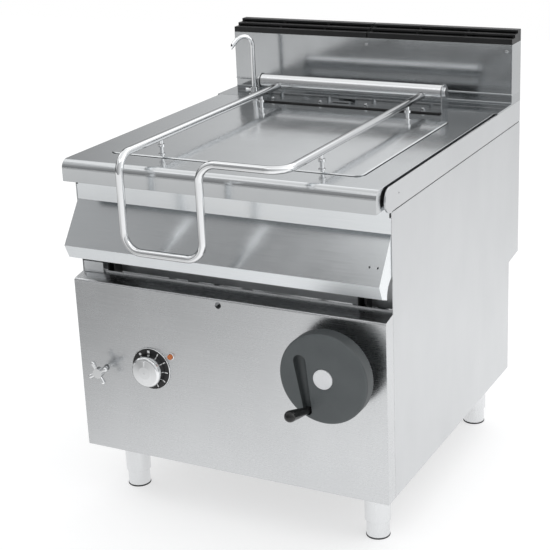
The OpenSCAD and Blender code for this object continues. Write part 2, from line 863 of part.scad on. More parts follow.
gland_r = 10;
valve_hole_r = 8;
module water_valve() {
    // Valve body behind the panel; the handle's stem reaches it through a round hole
    y0 = sheet + small_gap;
    color(brass) place() difference() {
        union() {
            rod_y(-valve_x, y0, valve_z, gland_r, valve_y - y0);
            rod_y(-valve_x, valve_y - gland_r, valve_z, gland_r * 1.5, 2 * gland_r);
        }
        rod_y(-valve_x, 0, valve_z, stem_r + fit_gap, stem_end_y + lap);
        translate([-valve_x, valve_y, water_z]) cylinder(h = valve_z - gland_r - water_z,
            r = water_r);
        rod_x(-pipe_x, valve_y, valve_z, water_r, pipe_x - valve_x - gland_r);
    }
}

handle_y = -38;
hub_r = 12;
arm_root_r = 3.5;
arm_tip_r = 6;
stem_end_y = 16;
module valve_handle() {
    // Cross handle with four round-ended arms
    color(bright) place() {
        rod_y(-valve_x, handle_y - knob_step, valve_z, hub_r, 2 * knob_step + stem_r);
        rod_y(-valve_x, handle_y + knob_step, valve_z, stem_r, stem_end_y - knob_step - handle_y);
        for (a = [61:90:331]) translate([-valve_x, handle_y, valve_z]) rotate([0, a, 0]) {
            cylinder(h = valve_arm - arm_tip_r, r1 = arm_root_r, r2 = arm_tip_r);
            translate([0, 0, valve_arm - arm_tip_r]) sphere(arm_tip_r);
        }
    }
}

water_r = 7;
water_z = 290;
pipe_x = 362;
valve_y = 27;
module water_pipes() {
    // Supply from the back to the valve, and the pipe from the valve to the tap
    bend = 1.5 * water_r;
    color("silver") place() {
        bent_tube([[-valve_x, valve_y, valve_z - gland_r], [-valve_x, valve_y, water_z],
            [-pipe_x, valve_y, water_z], [-pipe_x, lower_depth + run_gap + lap, water_z]],
            bend, water_r);
        rod_y(-pipe_x, lower_depth + run_gap, water_z, water_end_r, inlet_out);
        bent_tube([[-valve_x - gland_r, valve_y, valve_z], [-pipe_x, valve_y, valve_z],
            [-pipe_x, tap_y, valve_z], [tap_x, tap_y, valve_z], [tap_x, tap_y, tail_z]],
            bend, water_r);
    }
}

tail_z = seam_z;
tail_r = 7.2;
tap_x = -301;
tap_in = 28;
tap_y = deck_y + tap_in;
tap_r = 6;
tap_h = 20;
tap_rise = 133;
tap_top = top_z + tap_rise;
tap_end = 28;
tap_bend = 27;
tap_aim = 235;
spout_turn = 135;
module tap_base() {
    color(bright) place() translate([tap_x, tap_y, 0]) difference() {
        union() {
            translate([0, 0, top_z]) cylinder(h = hem_h, r = tap_r * 2.6);
            translate([0, 0, top_z]) cylinder(h = tap_h, r = tap_r * 1.7);
            translate([0, 0, tail_z]) cylinder(h = top_z - tail_z, r = tail_r);
            translate([0, 0, top_z + tap_h * 0.6]) rotate([0, -90, 20]) {
                cylinder(h = tap_r * 3, r = tap_r * 0.6);
                translate([0, 0, tap_r * 2.4]) cylinder(h = tap_r * 1.4, r = tap_r);
            }
        }
        translate([0, 0, top_z + tap_h / 2]) cylinder(h = tap_h, r = tap_r + fit_gap);
        translate([0, 0, tail_z - over]) cylinder(h = top_z - tail_z, r = tap_r * 0.8);
    }
}
module tap_spout() {
    // Cane-shaped spout with an open end cut upright, aimed to the front left
    turn = [sin(spout_turn), 0, cos(spout_turn)];
    cut = tap_bend * tan(spout_turn / 2);
    corner = [0, 0, tap_top + cut];
    tip = corner + (cut + tap_end) * turn;
    color(bright) place() translate([tap_x, tap_y, 0]) rotate([0, 0, tap_aim]) difference() {
        union() {
            bent_tube([[0, 0, top_z + tap_h / 2 + fit_gap], corner, tip], tap_bend, tap_r);
            // Core that joins the bend to the straight end
            tube_run(tip - (tap_end + lap) * turn, tip - (tap_end - lap) * turn, tap_r - lap);
        }
        tube_run(tip - 4 * tap_r * turn, tip + over * turn, tap_r * 0.75);
        // Upright cut across the slanting end
        span([tip[0] + tap_r * cos(spout_turn), -2 * tap_r, tip[2] - 2 * tap_r],
            [tip[0] + 2 * tap_r, 2 * tap_r, tip[2] + 2 * tap_r]);
    }
}

// DRIVE

rear_bearing_y = 150;
module drive_bearing() {
    // Two bearings of the handwheel shaft, joined by a bar and fixed to the front panel
    y0 = sheet;
    color(dark) place() difference() {
        union() {
            span([wheel_x - bearing_w, y0, wheel_z - bearing_w / 2],
                [wheel_x + bearing_w, y0 + flange_t, wheel_z + bearing_w / 2]);
            rod_y(wheel_x, y0, wheel_z, shaft_r * 2, bearing_w);
            rod_y(wheel_x, rear_bearing_y, wheel_z, shaft_r * 2, bearing_t);
            span([wheel_x - shaft_r, y0, wheel_z - 3 * shaft_r],
                [wheel_x + shaft_r, rear_bearing_y + bearing_t, wheel_z - 1.5 * shaft_r]);
        }
        rod_y(wheel_x, y0 - over, wheel_z, shaft_r + fit_gap, rear_bearing_y + bearing_w);
    }
}

module worm_bearings() {
    // Upper and lower bearing of the upright worm shaft, on one welded plate
    y1 = cross_y1 + 2 * flange_t;
    color(dark) place() difference() {
        union() {
            for (z = [worm_low_z, worm_high_z]) {
                translate([wheel_x, worm_y, z]) cylinder(h = bearing_t, r = shaft_r * 2);
                span([wheel_x - shaft_r * 2, worm_y, z], [wheel_x + shaft_r * 2, y1, z + bearing_t]);
            }
            span([wheel_x - shaft_r * 2, cross_y1, panel_base_z + sheet + frame_tube],
                [wheel_x + shaft_r * 2, y1, worm_high_z + bearing_t]);
        }
        translate([wheel_x, worm_y, worm_low_z - over])
            cylinder(h = worm_high_z, r = shaft_r + fit_gap);
    }
}

worm_low_gap = 8;
worm_low_z = wheel_z + bevel_r + bevel_face + worm_low_gap;
worm_high_z = worm_mid_z + worm_turns * worm_lead / 2 + run_gap;
thread_share = 0.3;
crest_thread_share = 0.16;
module thread_outline() {
    // Cross-section of a single helical ridge, narrower at its crest
    root = worm_r - dedendum;
    crest = worm_r + addendum;
    steps = 4;
    polygon(concat(
        [for (i = [0:steps]) let (a = (i / steps - 0.5) * 360 * thread_share)
            [root * cos(a), root * sin(a)]],
        [for (i = [steps:-1:0]) let (a = (i / steps - 0.5) * 360 * crest_thread_share)
            [crest * cos(a), crest * sin(a)]]));
}
module worm_shaft() {
    // Upright shaft with a right-handed worm; a ridge faces the sector at the contact point
    core = worm_r - dedendum + lap / 2;
    z0 = worm_mid_z - worm_turns * worm_lead / 2;
    color(bright) place() translate([wheel_x, worm_y, 0]) {
        translate([0, 0, wheel_z + bevel_r]) cylinder(h = worm_high_z + bearing_t - lap
            - wheel_z - bevel_r, r = shaft_r);
        translate([0, 0, z0]) cylinder(h = worm_turns * worm_lead, r = core);
        translate([0, 0, z0]) rotate([0, 0, -90 - 180 * worm_turns])
            linear_extrude(worm_turns * worm_lead, twist = -360 * worm_turns,
                slices = 18 * worm_turns) thread_outline();
    }
}

module bevel(clock) {
    // Bevel gear with its apex at the origin, opening towards -Z
    s = (bevel_r - bevel_face) / bevel_r;
    mod = 2 * bevel_r / bevel_teeth;
    translate([0, 0, -bevel_r]) rotate([0, 0, clock])
        linear_extrude(bevel_face, scale = s)
            gear_outline(bevel_teeth, bevel_r, mod * 0.6, mod, bevel_root_share,
                bevel_crest_share);
}
module bevel_pinion() {
    color(steel) place() translate([wheel_x, worm_y, wheel_z]) difference() {
        rotate([-90, 0, 0]) bevel(90);
        rod_y(0, -bevel_r - over, 0, shaft_r + fit_gap, bevel_r);
    }
}
module bevel_gear() {
    color(steel) place() translate([wheel_x, worm_y, wheel_z]) difference() {
        rotate([180, 0, 0]) bevel(90 + 180 / bevel_teeth);
        cylinder(h = 2 * bevel_r, r = shaft_r + fit_gap);
    }
}

module drive_shaft() {
    y0 = wheel_face_y + cap_t;
    color(bright) place() rod_y(wheel_x, y0, wheel_z, shaft_r,
        worm_y - bevel_r + bevel_face - y0);
}

module grip_recess() {
    // Tapered hollow for the folded grip, open to the wheel's face, with the pin's bore
    run = slot_len - slot_low_r - slot_high_r;
    translate([0, knuckle_r, 0]) {
        sphere(slot_low_r);
        cylinder(h = run, r1 = slot_low_r, r2 = slot_high_r);
        translate([0, 0, run]) sphere(slot_high_r);
        rotate([90, 0, 0]) linear_extrude(knuckle_r + over) {
            circle(slot_low_r);
            translate([0, run]) circle(slot_high_r);
            polygon([[-slot_low_r, 0], [slot_low_r, 0], [slot_high_r, run], [-slot_high_r, run]]);
        }
    }
    rod_x(-pin_reach - lap, knuckle_r, 0, grip_pin_r + fit_gap, 2 * (pin_reach + lap));
}
module handwheel() {
    // Solid wheel with a round rim, a hollow back, a hub and a recess for the folded grip
    r = wheel_r;
    d = wheel_d;
    e = rim_r;
    color(dark) place() translate([wheel_x, wheel_face_y, wheel_z]) difference() {
        rotate([-90, 0, 0]) rotate_extrude($fn = 96) polygon(concat(
            [[shaft_r + fit_gap, cap_t], [shaft_r + fit_gap, d + hem_w - sheet],
             [shaft_r * 2, d + hem_w - sheet], [shaft_r * 2.4, d * 0.7], [r * 0.78, d * 0.7],
             [r * 0.86, d]],
            [for (a = [0:15:90]) [r - e + e * sin(a), d - e + e * cos(a)]],
            [for (a = [90:-15:0]) [r - e + e * sin(a), e - e * cos(a)]],
            [[cap_r + lap, 0], [cap_r, lap], [cap_r, cap_t]]));
        translate([grip_ux, 0, grip_uz]) rotate([0, -grip_lean, 0]) grip_recess();
    }
}

module wheel_cap() {
    color("white") place() rod_y(wheel_x, wheel_face_y - lap, wheel_z, cap_r - small_gap,
        cap_t + lap);
}

module crank_grip() {
    // Turned grip on a knuckle, folded out of its recess
    r = grip_d / 2;
    neck = knuckle_r + lap;
    color(black) place() translate([wheel_x + grip_ux, grip_pivot_y, wheel_z + grip_uz])
        rotate([0, -grip_lean, 0]) rotate([grip_angle, 0, 0]) {
            rod_x(-knuckle_w / 2, 0, 0, knuckle_r, knuckle_w);
            rod_x(-pin_reach, 0, 0, grip_pin_r, 2 * pin_reach);
            rotate_extrude() polygon(concat(
                [[0, 0], [knuckle_r - lap, 0], [neck, neck * 2], [r * 0.85, grip_len * 0.55]],
                [for (a = [0:15:90]) [r * cos(a), grip_len - r + r * sin(a)]]));
        }
}

// PAN

module top_outline(t) {
    // Worktop seen from the side, drawn t inside its outer face
    polygon(concat(
        [[-top_nose + t, top_z - top_drop - (t > 0 ? over : 0)]],
        [for (a = [180:-10:90]) [nose_r - top_nose + (nose_r - t) * cos(a),
            top_z - nose_r + (nose_r - t) * sin(a)]],
        [[top_rear_y - t, top_z - t],
         [top_rear_y - t, top_z - top_drop - (t > 0 ? over : 0)]]));
}
module pan_worktop() {
    color(steel) place() difference() {
        union() {
            difference() {
                along_x(-top_half, top_w) top_outline(0);
                along_x(-top_half + sheet, top_w - 2 * sheet) top_outline(sheet);
            }
            round_block([-seat_half - sheet, seat_front - sheet, ledge_z - sheet],
                [seat_half + sheet, seat_rear + sheet, top_z], seat_r + sheet);
        }
        round_block([-seat_half, seat_front, ledge_z], [seat_half, seat_rear, top_z + over], seat_r);
        round_block([-mouth_half, mouth_front, ledge_z - over],
            [mouth_half, mouth_rear, top_z], well_r);
    }
}

module pan_well() {
    color(bright) place() difference() {
        round_block([-mouth_half - well_wall, mouth_front - well_wall, well_base],
            [mouth_half + well_wall, mouth_rear + well_wall, well_top], well_r + well_wall);
        round_block([-mouth_half, mouth_front, well_floor],
            [mouth_half, mouth_rear, well_top + over], well_r);
    }
}

module pan_insulation() {
    g = small_gap / 2;
    color([0.85, 0.8, 0.6]) place() difference() {
        round_block([-mouth_half - well_wall - jacket + g, mouth_front - well_wall - jacket + g,
            casing_base + flange_t], [mouth_half + well_wall + jacket - g,
            mouth_rear + well_wall + jacket - g, well_top - run_gap], well_r + jacket);
        round_block([-mouth_half - well_wall, mouth_front - well_wall, casing_base],
            [mouth_half + well_wall, mouth_rear + well_wall, well_top + over], well_r + well_wall);
    }
}

module pan_casing() {
    color(steel) place() difference() {
        round_block([-casing_half, casing_front, casing_base],
            [casing_half, casing_rear, well_top], well_r + jacket + sheet);
        round_block([-casing_half + sheet, casing_front + sheet, casing_base + flange_t],
            [casing_half - sheet, casing_rear - sheet, well_top + over], well_r + jacket);
        round_block([-casing_half + casing_flange, casing_front + casing_flange, casing_base - over],
            [casing_half - casing_flange, casing_rear - casing_flange, well_top], well_r);
    }
}

module pan_hood() {
    // Fascia, sloping hood and turned-in lower edge, with a cap at each end
    t = sheet;
    color(steel) place() difference() {
        union() {
            along_x(-hood_half, 2 * hood_half) polygon([
                [fascia_y, fascia_z], [fascia_y, hood_top_z], [crease_y, crease_z], [lip_y, lip_z],
                [lip_y + t, lip_z + t], [crease_y + t * 1.3, crease_z],
                [fascia_y + t, hood_top_z - t * 0.6], [fascia_y + t, fascia_z]]);
            span([-top_half + 2 * t, fascia_y, hood_top_z], [top_half - 2 * t, fascia_y + t,
                top_z - t]);
            span([-fascia_half, fascia_y, hood_top_z], [fascia_half, fascia_y + t,
                top_z - top_drop]);
            both_sides() along_x(hood_half - t, t) polygon([[fascia_y + t, fascia_z],
                [fascia_y, hood_top_z], [crease_y, crease_z], [lip_y, lip_z],
                [pivot_y, pivot_z - head_r], [fascia_y + t, pivot_z + head_r]]);
        }
        for (hole_in = hood_hole_ins)
            rod_y(hood_half - hole_in, crease_y, hood_top_z - hood_hole_drop, pin_hole_r, fascia_y - crease_y - hem_w);
        // Arc that keeps the caps clear of the side panels when the pan tilts
        along_x(-half_w, cab_w) translate([fascia_y + arc_in, lip_z - arc_drop]) circle(hood_arc);
    }
}

module pivot_ears() {
    // Plate on each side of the casing, with the pivot's bore
    color(steel) place() both_sides() difference() {
        union() {
            along_x(post_x, ear_w) {
                translate([pivot_y, pivot_z]) circle(head_r - lap);
                polygon([[pivot_y - head_r + over, pivot_z], [pivot_y - head_r / 2, casing_base],
                    [fascia_y + 4 * over, hood_top_z], [fascia_y + 4 * over, well_top - bend_r],
                    [casing_front + hem_w * 4, well_top - bend_r],
                    [casing_front + hem_w * 4, casing_base + hem_w],
                    [pivot_y + head_r - lap, pivot_z + over]]);
            }
            span([casing_half, casing_front + well_r + jacket, casing_base],
                [post_x, casing_front + hem_w * 4, casing_base + hem_w * 2]);
        }
        rod_x(post_x - over, pivot_y, pivot_z, pin_r + fit_gap, ear_w + 2 * over);
    }
}

module tilt_sector() {
    // Toothed sector round the tilting axis, with a web up to the casing's flange
    root = sector_r - dedendum;
    color(dark) place() difference() {
        along_x(wheel_x - sector_t / 2, sector_t) intersection() {
            translate([pivot_y, pivot_z]) difference() {
                rotate([0, 0, contact_angle]) gear_outline(sector_teeth, sector_r, addendum,
                    dedendum, tooth_share, tip_share * tooth_share);
                circle(root - sector_ring);
            }
            union() {
                polygon(concat([[pivot_y, pivot_z]], [for (i = [0:10]) let (
                    a = sector_low + i * (sector_high - sector_low) / 10)
                    [pivot_y + 2 * sector_r * cos(a), pivot_z + 2 * sector_r * sin(a)]]));
            }
        }
        span([0, -over, pivot_z - 3 * sector_r], [half_w, post_y0 + over, pivot_z]);
    }
    color(dark) place() span([wheel_x - sector_t / 2, sector_web_y0, pivot_z + over],
        [wheel_x + sector_t / 2, sector_web_y1, casing_base]);
}
sector_low = -tilt_max - 2;
sector_high = contact_angle + 6;
sector_ring = 64;
sector_web_in = 62;
sector_web_out = 4;
sector_web_y0 = pivot_y + sector_r - dedendum - sector_web_in;
sector_web_y1 = pivot_y + sector_r - dedendum - sector_web_out;

catch_x = -0.095 * hinge_len;
catch_w = 46;
catch_half_d = 6;
bolt_shares = [-0.44, -0.167, 0.089, 0.4];
ear_r = hinge_r + run_gap;
module hinge_bracket() {
    // Folded base plate with an ear at each end and a low upstand behind
    color(bright) place() translate([hinge_shift, 0, 0]) difference() {
        union() {
            span([-ear_x - ear_t, bracket_front, top_z], [ear_x + ear_t, bracket_rear,
                top_z + bracket_t]);
            span([-ear_x - ear_t, bracket_rear - bracket_t, top_z],
                [ear_x + ear_t, bracket_rear, top_z + hinge_r]);
            both_sides() along_x(ear_x, ear_t) {
                translate([hinge_y, hinge_z]) circle(ear_r);
                translate([hinge_y - ear_r, top_z]) square([2 * ear_r, hinge_h]);
            }
            span([catch_x, hinge_y - catch_half_d, top_z],
                [catch_x + catch_w, hinge_y + catch_half_d, top_z + 4 * bracket_t]);
        }
        rod_x(-ear_x - ear_t - over, hinge_y, hinge_z, hinge_pin_r, 2 * (ear_x + ear_t + over));
    }
}

bolt_r = 6;
module hinge_bolts() {
    z0 = top_z + bracket_t;
    color(bright) place() for (q = bolt_shares)
        translate([hinge_shift + q * hinge_len, hinge_y - bolt_r, z0]) {
        cylinder(h = bolt_r, r = bolt_r, $fn = 6);
        translate([0, 0, bolt_r]) cylinder(h = bolt_r / 2, r = bolt_r * 0.7);
    }
}

module hinge_pins() {
    x0 = hinge_len / 2 - plug_t + lap;
    x1 = ear_x + ear_t;
    color(bright) place() translate([hinge_shift, 0, 0]) both_sides() {
        rod_x(x0, hinge_y, hinge_z, hinge_pin_r, x1 - x0);
        rod_x(x1, hinge_y, hinge_z, hinge_pin_r * 2.6, hinge_pin_r);
    }
}

// LID

lid_r = seat_r - seat_gap;
arm_xs = [hinge_shift - arm_x, hinge_shift + arm_x];
lid_half = lid_w / 2;
module lid_cover() {
    // Shallow cover with bevelled upper edges
    e = lid_edge;
    z0 = lid_top - lid_skirt;
    color(steel) place() difference() {
        intersection() {
            round_block([-lid_half, lid_front_y, z0], [lid_half, lid_rear_y, lid_top], lid_r);
            along_x(-lid_half, lid_w) polygon([[lid_front_y, z0], [lid_rear_y, z0],
                [lid_rear_y, lid_top - e], [lid_rear_y - e, lid_top], [lid_front_y + e, lid_top],
                [lid_front_y, lid_top - e]]);
            translate([0, lid_rear_y, 0]) rotate([90, 0, 0])
                linear_extrude(lid_rear_y - lid_front_y) polygon([[-lid_half, z0], [lid_half, z0],
                    [lid_half, lid_top - e], [lid_half - e, lid_top], [e - lid_half, lid_top],
                    [-lid_half, lid_top - e]]);
        }
        round_block([-lid_half + sheet, lid_front_y + sheet, z0 - over],
            [lid_half - sheet, lid_rear_y - sheet, lid_top - sheet], lid_r - sheet);
    }
}

module lid_liner() {
    z0 = lid_top - lid_skirt;
    g = sheet;
    color(bright) place() {
        round_block([-lid_half + g, lid_front_y + g, z0],
            [lid_half - g, lid_rear_y - g, z0 + sheet], lid_r - g);
        // Spacers that stiffen the lid under its posts
        for (x = arm_xs) span([x - hem_w, post_front_y - hem_w / 2, z0 + sheet],
            [x + hem_w, post_rear_y + hem_w / 4, lid_top - sheet]);
    }
}

module lid_posts() {
    color(bright) place() for (x = arm_xs, y = [post_front_y, post_rear_y])
        translate([x, y, 0]) difference() {
            union() {
                translate([0, 0, lid_top]) cylinder(h = arm_z - lid_top, r = post_r);
                translate([0, 0, lid_top + (arm_h - handle_r) / 2]) cylinder(h = collar_t,
                    r = collar_r);
                translate([0, 0, lid_top]) cylinder(h = sheet, r = collar_r);
            }
            rod_y(0, -post_r * 2, arm_z, handle_r, post_r * 4);
        }
}

module lid_handle() {
    // One bent tube: along the left arm, down the loop, up, across and back
    x1 = loop_w - arm_x;
    color(bright) place() translate([hinge_shift, 0, 0]) difference() {
        bent_tube([[-arm_x, hinge_y, arm_z], [-arm_x, -handle_out, arm_z],
            [-arm_x, -handle_out, arm_z - loop_h], [x1, -handle_out, arm_z - loop_h],
            [x1, -handle_out, arm_z], [arm_x, -handle_out, arm_z],
            [arm_x, hinge_y, arm_z]], bend_r, handle_r);
        rod_x(-hinge_len / 2, hinge_y, hinge_z, hinge_r, hinge_len);
    }
}

module hinge_tube() {
    l = hinge_len / 2;
    color(bright) place() translate([hinge_shift, 0, 0]) difference() {
        rod_x(-l, hinge_y, hinge_z, hinge_r, 2 * l);
        rod_x(-l + plug_t, hinge_y, hinge_z, hinge_r - hinge_wall, 2 * (l - plug_t));
        rod_x(-l - over, hinge_y, hinge_z, hinge_pin_r + fit_gap, 2 * (l + over));
    }
}

// FASTENERS

screw_in = 14;
screw_drop = 17;
module panel_screws() {
    color(bright) place() {
        for (x = [-half_w + screw_in, 0, half_w - screw_in])
            rod_y(x, flue_y - screw_t, flue_top_z - screw_drop, screw_r, screw_t);
        for (z = [step_z + hem_w, seam_z - hem_w * 2], x = [-half_w + hem_w, 0, half_w - hem_w])
            rod_y(x, upper_depth, z, screw_r, screw_t);
    }
}

base_frame();
side_panel_left();
side_panel_right();
front_panel();
back_panel();
side_rail_left();
side_rail_right();
pivot_post_left();
pivot_post_right();
pivot_pins();
rear_deck();
splash_shield();
flue_box();
flue_duct();
flue_grate_left();
flue_grate_right();
foot_sleeves();
foot_front_left();
foot_front_right();
foot_rear_left();
foot_rear_right();
blank_plate();
pilot_lamp();
thermostat_dial();
dial_marks();
gas_valve();
gas_pipes();
burner_tubes();
burner_shelf();
water_valve();
water_pipes();
tap_base();
drive_bearing();
worm_bearings();
panel_screws();
pan_worktop();
pan_well();
pan_insulation();
pan_casing();
pan_hood();
pivot_ears();
tilt_sector();
hinge_bracket();
hinge_bolts();
hinge_pins();
lid_cover();
lid_liner();
lid_posts();
lid_handle();
hinge_tube();
handwheel();
wheel_cap();
drive_shaft();
bevel_pinion();
worm_shaft();
bevel_gear();
crank_grip();
thermostat_knob();
valve_handle();
tap_spout();
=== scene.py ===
"""Looks of the tilting bratt pan: materials, small pieces, floor, light and camera."""
import math

import bmesh
import bpy
from mathutils import Matrix, Vector

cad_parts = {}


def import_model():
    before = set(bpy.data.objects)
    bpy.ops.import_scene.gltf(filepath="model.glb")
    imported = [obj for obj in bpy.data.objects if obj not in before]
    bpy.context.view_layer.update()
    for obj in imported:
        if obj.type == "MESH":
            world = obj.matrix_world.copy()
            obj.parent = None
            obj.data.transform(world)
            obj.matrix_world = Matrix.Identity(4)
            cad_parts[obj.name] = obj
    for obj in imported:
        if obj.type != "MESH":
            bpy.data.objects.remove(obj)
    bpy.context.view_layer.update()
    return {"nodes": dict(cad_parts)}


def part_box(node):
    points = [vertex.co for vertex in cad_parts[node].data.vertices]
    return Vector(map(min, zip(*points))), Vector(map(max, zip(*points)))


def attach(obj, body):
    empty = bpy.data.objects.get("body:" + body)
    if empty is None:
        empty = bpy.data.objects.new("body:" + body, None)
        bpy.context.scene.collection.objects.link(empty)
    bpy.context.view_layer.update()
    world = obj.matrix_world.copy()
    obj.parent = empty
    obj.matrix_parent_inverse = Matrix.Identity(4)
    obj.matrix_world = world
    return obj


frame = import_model()
nodes = frame["nodes"]
MM = 0.001
MID_Y = -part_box("front_panel")[0].y / MM
TAU = 2 * math.pi


def at(x, y, z):
    """A point in the row frame from millimetres behind the front panel."""
    return Vector((x * MM, (y - MID_Y) * MM, z * MM))


def box_mm(part):
    """Low and high corner of a part in millimetres behind the front panel."""
    return [corner / MM + Vector((0, MID_Y, 0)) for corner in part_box(part)]


def round_part(part):
    """Centre and radius of a round part in mm, rounded to lose the error of its facets."""
    low, high = box_mm(part)
    centre = [round(value, 1) for value in (low + high) / 2]
    return centre, round((high.x - low.x) / 2, 1)


def put(name, data):
    """A new object of some data, linked to the scene."""
    thing = bpy.data.objects.new(name, data)
    bpy.context.scene.collection.objects.link(thing)
    return thing


# Node helpers

SHIFT_SHARES = (1.0, 1.7, 0.6)
EDGE_SAMPLES = 4


def new_material(name):
    """A material, its node tree and its Principled shader."""
    mat = bpy.data.materials.new(name)
    mat.use_nodes = True
    tree = mat.node_tree
    return mat, tree, tree.nodes["Principled BSDF"]


def add(tree, kind, **values):
    """A new node of a kind with some settings."""
    node = tree.nodes.new(kind)
    for key, value in values.items():
        setattr(node, key, value)
    return node


def grain(tree, scale, detail=4.0, rough=0.6, shift=0.0):
    """Noise stretched by a scale per axis, in the object's own coordinates."""
    coord = add(tree, "ShaderNodeTexCoord")
    mapping = add(tree, "ShaderNodeMapping")
    mapping.inputs["Scale"].default_value = scale
    mapping.inputs["Location"].default_value = [shift * share for share in SHIFT_SHARES]
    noise = add(tree, "ShaderNodeTexNoise")
    noise.inputs["Scale"].default_value = 1.0
    noise.inputs["Detail"].default_value = detail
    noise.inputs["Roughness"].default_value = rough
    tree.links.new(coord.outputs["Object"], mapping.inputs["Vector"])
    tree.links.new(mapping.outputs["Vector"], noise.inputs["Vector"])
    return noise.outputs["Fac"]


def spread(tree, value, low, high, start=0.3, end=0.7):
    """Maps a value from start..end to low..high; the defaults suit a noise."""
    node = add(tree, "ShaderNodeMapRange")
    node.inputs["From Min"].default_value = start
    node.inputs["From Max"].default_value = end
    node.inputs["To Min"].default_value = low
    node.inputs["To Max"].default_value = high
    tree.links.new(value, node.inputs["Value"])
    return node.outputs["Result"]


def maths(tree, kind, a, b):
    """Sum, difference or product of two values, each a number or a socket."""
    node = add(tree, "ShaderNodeMath", operation=kind)
    for slot, value in enumerate((a, b)):
        if isinstance(value, (int, float)):
            node.inputs[slot].default_value = value
        else:
            tree.links.new(value, node.inputs[slot])
    return node.outputs[0]


def tint(tree, shade, dark, light):
    """Colour between dark and light by a value of 0 to 1."""
    node = add(tree, "ShaderNodeMix", data_type="RGBA")
    node.inputs["A"].default_value = (*dark, 1)
    node.inputs["B"].default_value = (*light, 1)
    tree.links.new(shade, node.inputs["Factor"])
    return node.outputs["Result"]


def scaled(tree, colour, factor):
    """A colour made brighter or darker by a factor."""
    node = add(tree, "ShaderNodeVectorMath", operation="SCALE")
    tree.links.new(colour, node.inputs[0])
    tree.links.new(factor, node.inputs["Scale"])
    return node.outputs[0]


def normal_part(tree, axis):
    """The X, Y or Z part of the surface's normal."""
    split = add(tree, "ShaderNodeSeparateXYZ")
    tree.links.new(add(tree, "ShaderNodeNewGeometry").outputs["Normal"], split.inputs[0])
    return split.outputs[axis]


def mix_shaders(tree, factor, one, two):
    """The first shader where the factor is 0, the second where it is 1."""
    node = add(tree, "ShaderNodeMixShader")
    for slot, socket in enumerate((factor, one, two)):
        tree.links.new(socket, node.inputs[slot])
    return node.outputs[0]


def finish_surface(tree, shader, height, strength, depth, edge=0.0, lean=0.0):
    """Bump of a depth in metres from a height value, over edges that are rounded in shading.

    lean tips the shading to the front, as on a sheet that bows a little."""
    bump = add(tree, "ShaderNodeBump")
    bump.inputs["Strength"].default_value = strength
    bump.inputs["Distance"].default_value = depth
    tree.links.new(height, bump.inputs["Height"])
    if edge:
        bevel = add(tree, "ShaderNodeBevel", samples=EDGE_SAMPLES)
        bevel.inputs["Radius"].default_value = edge
        normal = bevel.outputs["Normal"]
        if lean:
            tip = add(tree, "ShaderNodeVectorMath", operation="ADD")
            tree.links.new(normal, tip.inputs[0])
            tip.inputs[1].default_value = (0, -lean, 0)
            unit = add(tree, "ShaderNodeVectorMath", operation="NORMALIZE")
            tree.links.new(tip.outputs[0], unit.inputs[0])
            normal = unit.outputs[0]
        tree.links.new(normal, bump.inputs["Normal"])
    tree.links.new(bump.outputs["Normal"], shader.inputs["Normal"])


# Steel

# Brushed lines: scale across and along, detail, roughness, share of the colour and depth
LINE_FINE = 900.0
LINE_LONG = 9.0
LINE_DETAIL = 5.0
LINE_ROUGH = 0.7
LINE_SHARE = 0.55
LINE_DEPTH = 0.0002
# Grains: scale per axis, detail, roughness, shift
BROAD = ((3.1, 3.7, 2.9), 3.0, 0.55, 4.0)
SMEAR = ((11.0, 13.0, 5.0), 4.0, 0.6, 9.0)
# Wear swings evenly to both sides of the roughness
WEAR = (-0.5, 0.5)
# From where to where painted shade sets in as the surface turns away from the eye
TURNED_SHADE = (0.34, 0.82)
# Normal's Z from upright faces, which get painted light, to those that look up, and from those
# that look down to upright ones
UPRIGHT_Z = (0.12, 0.30)
UNDER_Z = (-0.35, -0.12)


def steel(name, along, dark, light, rough, spread_rough, bump, edge=0.0012, side=1.0, upright_light_and_rough=(),
          lean=0.0):
    """Brushed or satin steel with its grain along one axis.

    side paints shade on turned-away parts; the first fold value paints light on upright faces
    as a gain in brightness, the second gives faces that look down a gain in roughness; edge is in
    metres."""
    mat, tree, shader = new_material(name)
    shader.inputs["Metallic"].default_value = 1.0
    scale = [LINE_LONG if axis == along else LINE_FINE for axis in "XYZ"]
    lines = grain(tree, scale, LINE_DETAIL, LINE_ROUGH)
    broad = grain(tree, *BROAD)
    smear = grain(tree, *SMEAR)
    shade = maths(tree, "ADD", spread(tree, lines, 0.0, LINE_SHARE),
                  spread(tree, broad, 0.0, 1.0 - LINE_SHARE))
    colour = tint(tree, shade, dark, light)
    # Painted shade: the colour darkens where the surface turns away from the eye
    if side < 1.0:
        turned = add(tree, "ShaderNodeLayerWeight").outputs["Facing"]
        colour = scaled(tree, colour, spread(tree, turned, 1.0, side, *TURNED_SHADE))
    # Painted light: upright faces get a brighter colour by the first fold value
    if upright_light_and_rough:
        painted_gain, extra_rough = upright_light_and_rough
        rise = normal_part(tree, "Z")
        colour = scaled(tree, colour, spread(tree, rise, painted_gain, 1.0, *UPRIGHT_Z))
        rough = maths(tree, "ADD", spread(tree, rise, extra_rough, 0.0, *UNDER_Z), rough)
    tree.links.new(colour, shader.inputs["Base Color"])
    wear = maths(tree, "ADD", spread(tree, lines, *WEAR), spread(tree, smear, *WEAR))
    rough_value = maths(tree, "ADD", maths(tree, "MULTIPLY", wear, spread_rough), rough)
    tree.links.new(rough_value, shader.inputs["Roughness"])
    finish_surface(tree, shader, lines, bump, LINE_DEPTH, edge, lean)
    return mat


